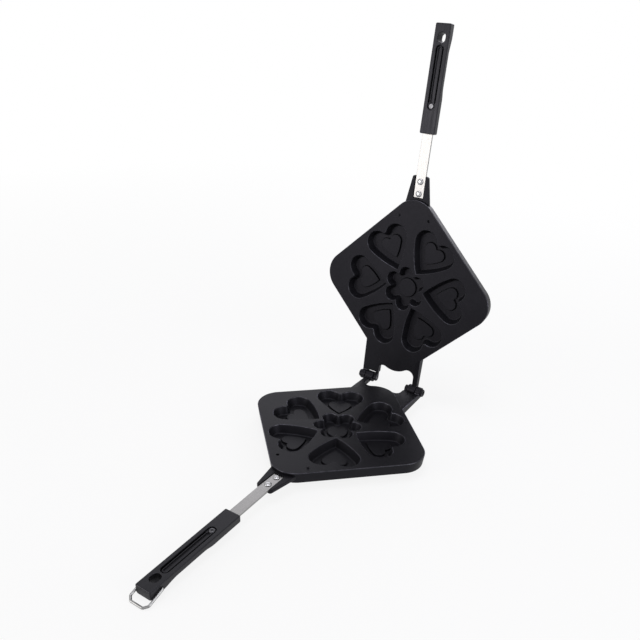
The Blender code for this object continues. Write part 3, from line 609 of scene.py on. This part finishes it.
def cavityTool():
    # hollows with the bosses left standing in them
    def heartRings(turn):
        return (plateRings(heartOutline, cavityProfile(), turn)
                + plateRings(heartBossOutline, bossProfile(), turn))
    middleRings = plateRings(flowerOutline, cavityProfile()) + plateRings(roundBossOutline, bossProfile())
    return everyCavity("cavities", heartRings, middleRings)


def shellTool():
    return everyCavity("shells", lambda turn: plateRings(heartOutline, shellProfile(), turn),
                       plateRings(flowerOutline, shellProfile()))


def armOutline(radius):
    top = rim - hinge["step"]
    root = Vector((centreY + halfDiagonal - earOuter - plate["wallThick"], -hinge["armDepth"]))
    start = math.pi + math.asin(-top / radius)
    tangent = bearing(root) + math.acos(radius / root.length)
    knuckle = arcPoints((0, 0), radius, start, tangent, hinge["knuckleSteps"])
    return knuckle + [root, Vector((root.x, top))]


def armWeb(name, inner, fillet):
    # a fillet in the corner between an arm and the plate, a hair lower than both and not as deep
    corner = Vector((0, centreY + cornerReach - plate["corner"]))
    across = inner - fillet
    centre = Vector((across, corner.y + math.sqrt((plate["corner"] + fillet) ** 2 - across ** 2)))
    edge = arcPoints(centre, fillet + hinge["step"], 0, bearing(corner - centre), hinge["webSteps"])
    inside = inner + hinge["lugWidth"] / 2
    outline = edge + [Vector((edge[-1].x, corner.y)), Vector((inside, corner.y)), Vector((inside, centre.y))]
    return prismMesh(name, outline, -hinge["webDepth"], rim - 2 * hinge["step"])


def knuckleEdge(name, steps=96):
    # rounds the ear's edge beside the tongue
    soft = hinge["edgeRound"]
    lift = plate["mouthLift"]
    outside = hinge["knuckle"] + 3 * hinge["step"]
    gap = earInner - hinge["sidePlay"] / 2
    centre = (hinge["knuckle"] - soft + lift, earInner + soft - lift)
    profile = [(centre[0], gap), (outside, gap), (outside, centre[1])]
    profile += [(centre[0] + soft * math.cos(angle), centre[1] - soft * math.sin(angle))
                for angle in quarterTurn(6)]
    turns = [2 * math.pi * step / steps for step in range(steps)]
    return closedLoft(name, [[(along, *polar(radius, turn)) for radius, along in profile] for turn in turns])


def lugOutline(back):
    # the small knuckle beside the tongue, run back into its arm
    radius = hinge["lugRadius"]
    top = rim - hinge["lugInside"] * 2
    start = math.pi + math.asin(-top / radius)
    knuckle = arcPoints((0, 0), radius, start, -math.pi / 2, hinge["knuckleSteps"])
    return knuckle + [Vector((back, -radius)), Vector((back, top))]


def hingeTools():
    soft = hinge["edgeRound"]
    low = (hinge["lugInner"] - overrun, -hinge["knuckle"] - hinge["notchPlay"], -hinge["armDepth"] - overrun)
    high = (earInner, hinge["knuckle"] + overrun, hinge["knuckle"] + overrun)
    lug = sidePrism("lug", lugOutline(low[1] - overrun), hinge["lugInner"] + hinge["lugInside"], lugOuter)
    neckInner = tongueInner + hinge["neckInnerStep"]
    neck = sidePrism("neck", armOutline(hinge["knuckle"] - hinge["step"]), neckInner,
                     tongueOuter - hinge["neckOuterStep"])
    neckWeb = armWeb("neckWeb", neckInner, hinge["tongueFillet"])
    ear = sidePrism("ear", armOutline(hinge["knuckle"]), hinge["lugInner"], earOuter)
    return [
        ("UNION", bevelledMesh(ear, soft)),
        ("UNION", bevelledMesh(armWeb("earWeb", hinge["lugInner"], hinge["lugFillet"]), soft)),
        ("UNION", rodMesh("earBoss", hinge["earBossRadius"], earInner + hinge["earWidth"] / 2, earFace, "X",
                          edge=soft)),
        ("DIFFERENCE", boxMesh("notch", low, high)),
        ("DIFFERENCE", knuckleEdge("earEdge")),
        ("UNION", bevelledMesh(lug, soft)),
        ("UNION", mirroredMesh(bevelledMesh(neck, soft))),
        ("UNION", mirroredMesh(bevelledMesh(neckWeb, soft))),
        ("UNION", rodMesh("tongue", hinge["tongueRadius"], -tongueOuter, -tongueInner, "X",
                          edge=hinge["tongueRound"], steps=72)),
    ]


def stripTop():
    return forkTop - strip["belowFork"]


def troughFloor():
    return stripTop() - strip["thick"] - hinge["play"]


def forkRing(place, width):
    bottom = troughFloor() - fork["floor"]
    side = bottom + fork["underBevel"]
    flat = width / 2 - fork["underBevel"]
    return [(-width / 2, place, forkTop), (-width / 2, place, side), (-flat, place, bottom),
            (flat, place, bottom), (width / 2, place, side), (width / 2, place, forkTop)]


def forkTools():
    root = handleCorner + fork["rootInside"]
    slope = (fork["rootWidth"] - fork["endWidth"]) / (root - forkEnd)
    rings = [forkRing(root, fork["rootWidth"]),
             forkRing(forkEnd + fork["endBevel"], fork["endWidth"] + slope * fork["endBevel"]),
             forkRing(forkEnd, fork["endWidth"] - 2 * fork["endBevel"])]
    half = strip["width"] / 2 + hinge["play"]
    trough = boxMesh("trough", (-half, forkEnd - overrun, troughFloor()),
                     (half, stripStart() + hinge["play"], forkTop + overrun))
    return [("UNION", bevelledMesh(loftMesh("fork", rings), fork["edgeRound"], angle=20)),
            ("DIFFERENCE", trough)]


def castingBody():
    outer = softened([(plate["rimRound"] * 3, rim), (0, rim), (plate["wallDraft"], wallFoot),
                      (plate["wallDraft"] + plate["wallThick"], wallFoot)],
                     [plate["rimRound"], plate["footRound"]], steps=6)[1:-1]
    wide = plate["wallDraft"] + plate["wallThick"]
    pocket = softened([(wide, wallFoot - overrun), (wide, wallFoot), (wide + plate["wallDraft"], deckUnder),
                       (wide * 3, deckUnder)], [0, plate["floorRound"]], steps=4)[:-1]
    low = troughFloor() - fork["floor"] - overrun
    holes = [rodMesh("rivetHole", rivet["radius"] + hinge["play"], low, stripTop(), "Z", (0, place, 0))
             for place in rivetPlaces().values()]
    locatorY = handleCorner + plate["locatorFromCorner"]
    play = plate["pegPlay"]
    holes.append(rodMesh("locator", plate["pegRadius"] + play, rim - plate["pegHeight"] - play, rim + overrun,
                         "Z", (-plate["locatorApart"], locatorY, 0)))
    ends = earFace + overrun
    holes.append(rodMesh("bore", hinge["pinRadius"] + hinge["play"], -ends, ends, "X"))
    return shapedBy(loftMesh("casting", plateRings(plateOutline, outer)), hingeTools() + forkTools() + [
        ("DIFFERENCE", loftMesh("pocket", plateRings(plateOutline, pocket))),
        ("UNION", shellTool()),
        ("UNION", footRail()),
        ("DIFFERENCE", cavityTool()),
        ("DIFFERENCE", joinedMesh("holes", holes)),
        ("UNION", rodMesh("peg", plate["pegRadius"], inDeck, rim + plate["pegHeight"], "Z",
                          (plate["locatorApart"], locatorY, 0), edge=plate["pegRound"])),
    ])


def footRail():
    thick = plate["railWidth"]
    inner = plate["railInset"] + thick
    outer = plate["railInset"]
    path = softened([(outer, inDeck), (outer, railFoot), (inner, railFoot), (inner, inDeck)],
                    [plate["railRound"]] * 2, steps=4)
    return closedLoft("rail", plateRings(plateOutline, path))


# Handles: a flat steel strip, bent outwards past its fork, in a slotted grip

strip = {
    "width": 0.0110, "thick": 0.0020, "belowFork": 0.0009, "fromCorner": 0.0018, "freeLength": 0.0412,
    "bendBeyondFork": 0.0010, "tilt": math.radians(2.2), "tang": 0.0295, "edgeRound": 0.00035,
}
rivet = {
    "radius": 0.0020, "headRadius": 0.0033, "headHeight": 0.0013, "fromStripEnd": 0.0040, "spacing": 0.0125,
    "domeSteps": 12,
}
screw = {
    "radius": 0.0012, "headRadius": 0.0027, "headHeight": 0.0012, "domeShare": 0.55, "edgeRound": 0.0001,
    "length": 0.0042, "fromTangEnd": 0.0024, "lift": 0.0007,
    "driveWidth": 0.0007, "driveLength": 0.0030, "driveDepth": 0.0006,
}
grip = {
    "length": 0.1050, "width": 0.0165, "aboveStrip": 0.0023, "frontDepth": 0.0078, "waistDepth": 0.0063,
    "endDepth": 0.0090, "bottomRound": 0.0021, "topRound": 0.0009, "endRound": 0.0012,
    "waistStart": (0.32, 0.43), "waistEnd": (0.72, 0.90), "waistSteps": 16, "endSteps": 5,
    "slotWidth": 0.0083, "slotLength": 0.0616, "slotFromEnd": 0.0201, "mouthRound": 0.0005,
    "padHeight": 0.0004, "padBehindScrew": 0.0036, "trenchDepth": 0.0008, "recessPlay": 0.0004,
    "ridgeWidth": 0.0056, "ridgeHeight": 0.0016, "ridgeRound": 0.0006, "ridgeFromSlotEnd": 0.0012,
    "ridgePastScrew": 0.0005, "grooveWidth": 0.0035, "grooveFloor": 0.0002, "grooveRound": 0.0004,
    "grooveBehindScrew": 0.0029,
    "holeWidth": 0.0086, "holeLength": 0.0104, "holeFromEnd": 0.0133, "holeDraft": 0.0016,
}
bail = {
    "wire": 0.0011, "fromGripEnd": 0.0115, "belowGripTop": 0.0042, "beyondGrip": 0.0080, "sideGap": 0.0003,
    "holeDepth": 0.0027, "cornerCut": 0.0034, "tableGap": 0.0002, "bendRadius": 0.0022, "tipBend": 0.0011,
}

bendY = forkEnd - strip["bendBeyondFork"]
gripEnd = -strip["freeLength"] - grip["length"]
tangEnd = -strip["freeLength"] - strip["tang"]
screwY = tangEnd + screw["fromTangEnd"]
handleFrame = Matrix.Translation((0, bendY, stripTop())) @ Matrix.Rotation(strip["tilt"], 4, "X")


def stripStart():
    return handleCorner - strip["fromCorner"]


def rivetPlaces():
    first = stripStart() - rivet["fromStripEnd"]
    return {"inner": first, "outer": first - rivet["spacing"]}


def stripBody():
    top = stripTop()
    tang = handleFrame @ Vector((0, tangEnd, 0))
    tangUnder = handleFrame @ Vector((0, tangEnd, -strip["thick"]))
    mitre = strip["thick"] * math.tan(strip["tilt"] / 2)
    under = top - strip["thick"]
    outline = [(stripStart(), top), (bendY, top), tang.yz, tangUnder.yz, (bendY + mitre, under),
               (stripStart(), under)]
    mesh = sidePrism("strip", outline, -strip["width"] / 2, strip["width"] / 2)
    holes = [rodMesh("hole", rivet["radius"] + hinge["play"], troughFloor(), forkTop, "Z", (0, place, 0))
             for place in rivetPlaces().values()]
    screwHole = rodMesh("hole", screw["radius"] + hinge["play"], -strip["thick"] - overrun, overrun, "Z",
                        (0, screwY, 0))
    screwHole.transform(handleFrame)
    blank = bevelledMesh(mesh, strip["edgeRound"], angle=40)
    return shapedBy(blank, [("DIFFERENCE", joinedMesh("holes", holes + [screwHole]))])


def rivetBody():
    base = stripTop() + hinge["play"]
    bottom = troughFloor() - fork["floor"]
    dome = [(rivet["headRadius"] * math.sin(angle), base + rivet["headHeight"] * math.cos(angle))
            for angle in quarterTurn(rivet["domeSteps"])]
    return turnedMesh("rivet", dome + [(rivet["radius"], base), (rivet["radius"], bottom), (0, bottom)])


def screwBody():
    top = hinge["play"] + screw["headHeight"]
    tip = hinge["play"] - screw["length"]
    corners = [(0, top), (screw["headRadius"], top), (screw["headRadius"], hinge["play"]),
               (screw["radius"], hinge["play"]), (screw["radius"], tip), (0, tip)]
    dome = screw["headHeight"] * screw["domeShare"]
    path = softened(corners, [dome, screw["edgeRound"], 0, screw["edgeRound"]], steps=6)
    long, short = screw["driveLength"] / 2, screw["driveWidth"] / 2
    drives = [boxMesh("drive", (-across, -along, top - screw["driveDepth"]), (across, along, top + overrun))
              for across, along in ((long, short), (short, long))]
    return shapedBy(turnedMesh("screw", path), [("DIFFERENCE", drive) for drive in drives])


def gripStations():
    ends = grip["endRound"]
    stations = [(0, grip["frontDepth"])]
    steps = grip["waistSteps"]
    for shares, before, after in ((grip["waistStart"], grip["frontDepth"], grip["waistDepth"]),
                                  (grip["waistEnd"], grip["waistDepth"], grip["endDepth"])):
        for step in range(steps + 1):
            done = step / steps
            ease = (1 - math.cos(math.pi * done)) / 2
            stations.append((shares[0] + (shares[1] - shares[0]) * done, before + (after - before) * ease))
    stations.append((1, grip["endDepth"]))
    front = [(ends * (1 - math.sin(angle)), ends * (1 - math.cos(angle)))
             for angle in quarterTurn(grip["endSteps"])]
    rings = [(along, stations[0][1], inset) for along, inset in reversed(front)]
    rings += [(share * grip["length"], depth, 0) for share, depth in stations[1:-1]]
    return rings + [(grip["length"] - along, stations[-1][1], inset) for along, inset in front]


def gripRing(along, depth, inset):
    half = grip["width"] / 2 - inset
    top = grip["aboveStrip"] - inset
    low = grip["aboveStrip"] - depth + inset
    corners = [(0, top), (half, top), (half, low), (0, low)]
    right = softened(corners, [grip["topRound"], grip["bottomRound"]], steps=8)[1:-1]
    outline = right + [Vector((-point.x, point.y)) for point in reversed(right)]
    return [(point.x, -strip["freeLength"] - along, point.y) for point in outline]


def slotRings(back, front, width, profile):
    return [[(*point, height) for point in
             slotOutline((front + back) / 2, front - back - 2 * inset, width - 2 * inset)]
            for inset, height in profile]


def flaredSlot(name, back, front, width, top, low, soft, draft=0.0):
    # a slot from back to front along the grip, rounded at its mouth and foot, closing in by its draft
    high = top + plate["mouthLift"]
    corners = [(-2 * soft, high), (0, high), (draft, low), (draft + soft, low)]
    path = softened(corners, [soft, soft / 2], steps=4)[1:-1]
    profile = [(path[0].x, top + overrun)] + [tuple(point) for point in path]
    return loftMesh(name, slotRings(back, front, width, profile))


def roundedSlot(name, back, front, width, top, low, soft):
    # a slot-shaped block with a rounded top edge
    profile = softened([(0, low), (0, top), (3 * soft, top)], [soft], steps=6)[:-1]
    return loftMesh(name, slotRings(back, front, width, profile))


def gripBody(holdsBail):
    slotEnd = gripEnd + grip["slotFromEnd"]
    slotFront = slotEnd + grip["slotLength"]
    top = grip["aboveStrip"]
    pad = hinge["play"] + grip["padHeight"]
    soft = grip["mouthRound"]
    half = strip["width"] / 2 + hinge["play"]
    holeY = gripEnd + grip["holeFromEnd"]
    reach = grip["holeLength"] / 2
    deep = top - grip["endDepth"] - overrun
    trench = -grip["trenchDepth"]
    ridge = grip["ridgeHeight"]
    buried = overrun / 4
    ridgeBack = slotEnd + grip["ridgeFromSlotEnd"]
    grooveBack = ridgeBack + (grip["ridgeWidth"] - grip["grooveWidth"]) / 2
    padHalf = grip["slotWidth"] / 2 + buried
    tools = [
        ("DIFFERENCE", flaredSlot("slot", slotEnd, slotFront, grip["slotWidth"], top, trench, soft)),
        ("UNION", boxMesh("pad", (-padHalf, screwY - grip["padBehindScrew"], trench - buried),
                          (padHalf, slotFront + buried, pad))),
        ("UNION", roundedSlot("ridge", ridgeBack, screwY + grip["ridgePastScrew"], grip["ridgeWidth"], ridge,
                              trench - 2 * buried, grip["ridgeRound"])),
        ("DIFFERENCE", flaredSlot("groove", grooveBack, screwY - grip["grooveBehindScrew"],
                                  grip["grooveWidth"], ridge, grip["grooveFloor"], grip["grooveRound"])),
        ("DIFFERENCE", rodMesh("recess", screw["headRadius"] + grip["recessPlay"], pad - hinge["step"],
                               top + overrun, "Z", (0, screwY, 0), steps=56)),
        ("DIFFERENCE", boxMesh("pocket", (-half, tangEnd - hinge["play"], -strip["thick"] - hinge["play"]),
                               (half, -strip["freeLength"] + overrun, hinge["play"]))),
        ("DIFFERENCE", flaredSlot("hangHole", holeY - reach, holeY + reach, grip["holeWidth"], top, deep,
                                  soft, grip["holeDraft"])),
        ("DIFFERENCE", rodMesh("seat", screw["radius"] + hinge["play"], -screw["length"] - hinge["play"],
                               pad + hinge["play"], "Z", (0, screwY, 0))),
    ]
    if holdsBail:
        bailY = gripEnd + bail["fromGripEnd"]
        bailZ = grip["aboveStrip"] - bail["belowGripTop"]
        bailHole = rodMesh("bailHole", bail["wire"] + hinge["play"], grip["width"] / 2 - bail["holeDepth"],
                           grip["width"] / 2 + overrun, "X", (0, bailY, bailZ))
        tools.append(("DIFFERENCE", joinedMesh("bailHoles", [bailHole, mirroredMesh(bailHole.copy())])))
    return shapedBy(loftMesh("grip", [gripRing(*ring) for ring in gripStations()]), tools)


def bailBody():
    reach = bail["fromGripEnd"] + bail["beyondGrip"]
    across = grip["width"] / 2 + bail["sideGap"] + bail["wire"]
    tip = grip["width"] / 2 - bail["holeDepth"] + hinge["play"]
    soft = bail["bendRadius"]
    corner = bail["cornerCut"]
    bends = [(tip, 0), (across, 0), (across, corner - reach), (across - corner, -reach), (0, -reach)]
    right = softened(bends, [bail["tipBend"], soft, soft], steps=8)[:-1]
    route = right + [Vector((-point.x, point.y)) for point in reversed(right)]
    curve = bpy.data.curves.new("bail", "CURVE")
    curve.dimensions = "3D"
    line = curve.splines.new("POLY")
    line.points.add(len(route) - 1)
    for place, point in zip(line.points, route):
        place.co = (point.x, point.y, 0, 1)
    curve.bevel_depth = bail["wire"]
    curve.bevel_resolution = 8
    curve.use_fill_caps = True
    return weldedMesh(bakedMesh(workObject(curve)))


def pinBody():
    return rodMesh("pin", hinge["pinRadius"], hinge["lugInner"] + hinge["play"], earFace - hinge["pinRecess"],
                   "X", edge=hinge["pinRound"])


# Pieces in place

castingMesh = castingBody()
print("casting made:", len(castingMesh.polygons), "faces")
stripMesh = stripBody()
rivetMesh = rivetBody()
screwMesh = screwBody()
gripMeshes = {"lower": gripBody(True), "upper": gripBody(False)}
print("handle pieces made")

for side, place in halfFrames.items():
    body = side + "_half"
    addPiece(side + "PlateCasting", castingMesh.copy(), coat, place, body, side + "_plate")
    addPiece(side + "SteelStrip", stripMesh.copy(), brushedSteel, place, body, side + "_handle_strip")
    for along, placeY in rivetPlaces().items():
        addPiece(side + along.title() + "Rivet", rivetMesh.copy(), turnedSteel,
                 place @ Matrix.Translation((0, placeY, 0)), body, side + "_" + along + "_rivet")
    addPiece(side + "HandGrip", gripMeshes[side], plastic, place @ handleFrame, body, side + "_grip")
    addPiece(side + "GripScrew", screwMesh.copy(), platedSteel,
             place @ handleFrame @ Matrix.Translation((0, screwY, screw["lift"] - hinge["play"])), body,
             side + "_grip_screw")

addPiece("rightHingePin", pinBody(), platedSteel, halfFrames["lower"], "lower_half", "hinge_pin_right")
addPiece("leftHingePin", pinBody(), platedSteel, halfFrames["upper"], "upper_half", "hinge_pin_left")

bailReach = bail["fromGripEnd"] + bail["beyondGrip"]
bailDrop = math.asin((bailPlace.z - bail["wire"] - bail["tableGap"]) / bailReach)
bailFrame = Matrix.Translation(bailPlace) @ Matrix.Rotation(bailDrop, 4, "X")
addPiece("wireBail", bailBody(), wireSteel, bailFrame, "bail", "locking_bail")
print("pieces in place")


# Studio: a pale floor, soft lamps and the photograph's viewpoint

floorLook = {
    "size": 30.0, "drop": 0.0003, "paint": 0.86, "matt": 0.9, "shine": 0.1,
    "shadowShare": 0.15, "nearRadius": 0.35, "farRadius": 1.3,
}
worldLevel = 0.36
lamps = {
    "sideWindow": {"place": (1.20, -0.10, 0.45), "size": 0.70, "power": 6.0, "colour": (0.97, 0.97, 1.0)},
    "leftFront": {"place": (-0.75, -1.15, 0.30), "size": 0.80, "power": 8.6, "colour": (1.0, 0.97, 0.93)},
    "overhead": {"place": (-0.05, -0.10, 1.45), "size": 0.65, "power": 5.5, "colour": (0.93, 0.92, 1.0)},
    "behind": {"place": (-0.80, 1.05, 0.70), "size": 0.80, "power": 1.5, "colour": (0.93, 0.92, 1.0)},
    "backWindow": {"place": (-0.10, 1.40, 0.58), "size": 0.70, "power": 4.7, "colour": (0.91, 0.90, 1.0)},
}
aim = Vector((0, 0.06, 0.12))
viewpoint = {
    "place": (0.3427, -0.5058, 0.4360), "right": (0.82648, 0.56203, 0.03253),
    "up": (-0.25905, 0.32835, 0.90834), "back": (0.49983, -0.75915, 0.41697), "lens": 42.93, "sensor": 36.0,
}


def backgroundRays(tree):
    rays = addNode(tree, "ShaderNodeLightPath").outputs
    seen = mathLevel(tree, "MAXIMUM", rays["Is Camera Ray"], rays["Is Glossy Ray"])
    return mathLevel(tree, "MAXIMUM", seen, rays["Is Transmission Ray"])


def addFloor():
    half = floorLook["size"] / 2
    mesh = bpy.data.meshes.new("studioFloor")
    corners = [(-half, -half, 0), (half, -half, 0), (half, half, 0), (-half, half, 0)]
    mesh.from_pydata(corners, [], [(0, 1, 2, 3)])
    material, tree, shader = startFinish("pale floor")
    shader.inputs["Base Color"].default_value = (floorLook["paint"],) * 3 + (1,)
    shader.inputs["Roughness"].default_value = floorLook["matt"]
    shader.inputs["Specular IOR Level"].default_value = floorLook["shine"]
    glow = addNode(tree, "ShaderNodeEmission", {"Color": (1, 1, 1, 1), "Strength": 1.0})
    position = addNode(tree, "ShaderNodeNewGeometry").outputs["Position"]
    distance = addNode(tree, "ShaderNodeVectorMath", {0: position}, operation="LENGTH").outputs["Value"]
    far = rangeLevel(tree, distance, floorLook["nearRadius"], floorLook["farRadius"],
                     low=1 - floorLook["shadowShare"])
    share = mathLevel(tree, "MULTIPLY", backgroundRays(tree), far)
    mix = addNode(tree, "ShaderNodeMixShader", {0: share, 1: shader.outputs[0], 2: glow.outputs[0]})
    tree.links.new(mix.outputs[0], tree.nodes["Material Output"].inputs["Surface"])
    mesh.materials.append(material)
    floor = workObject(mesh)
    floor.location.z = -floorLook["drop"]


def addWorld():
    world = bpy.data.worlds.new("white room")
    bpy.context.scene.world = world
    world.use_nodes = True
    tree = world.node_tree
    background = tree.nodes["Background"]
    background.inputs["Color"].default_value = (1, 1, 1, 1)
    strength = rangeLevel(tree, backgroundRays(tree), 0.0, 1.0, low=worldLevel)
    tree.links.new(strength, background.inputs["Strength"])


def addLamp(name, settings):
    light = bpy.data.lights.new(name, "AREA")
    light.energy = settings["power"]
    light.color = settings["colour"]
    light.size = settings["size"]
    lamp = bpy.data.objects.new(name, light)
    bpy.context.scene.collection.objects.link(lamp)
    lamp.location = settings["place"]
    lamp.rotation_mode = "QUATERNION"
    lamp.rotation_quaternion = (aim - Vector(settings["place"])).to_track_quat("-Z", "Y")


def addCamera():
    view = bpy.data.cameras.new("viewpoint")
    view.lens = viewpoint["lens"]
    view.sensor_width = viewpoint["sensor"]
    camera = bpy.data.objects.new("viewpoint", view)
    bpy.context.scene.collection.objects.link(camera)
    turn = Matrix((viewpoint["right"], viewpoint["up"], viewpoint["back"])).transposed()
    camera.matrix_world = Matrix.Translation(viewpoint["place"]) @ turn.to_4x4()
    bpy.context.scene.camera = camera


addFloor()
addWorld()
for lampName, lampSettings in lamps.items():
    addLamp(lampName, lampSettings)
addCamera()
bpy.context.scene.view_settings.view_transform = "Standard"
print("studio set")
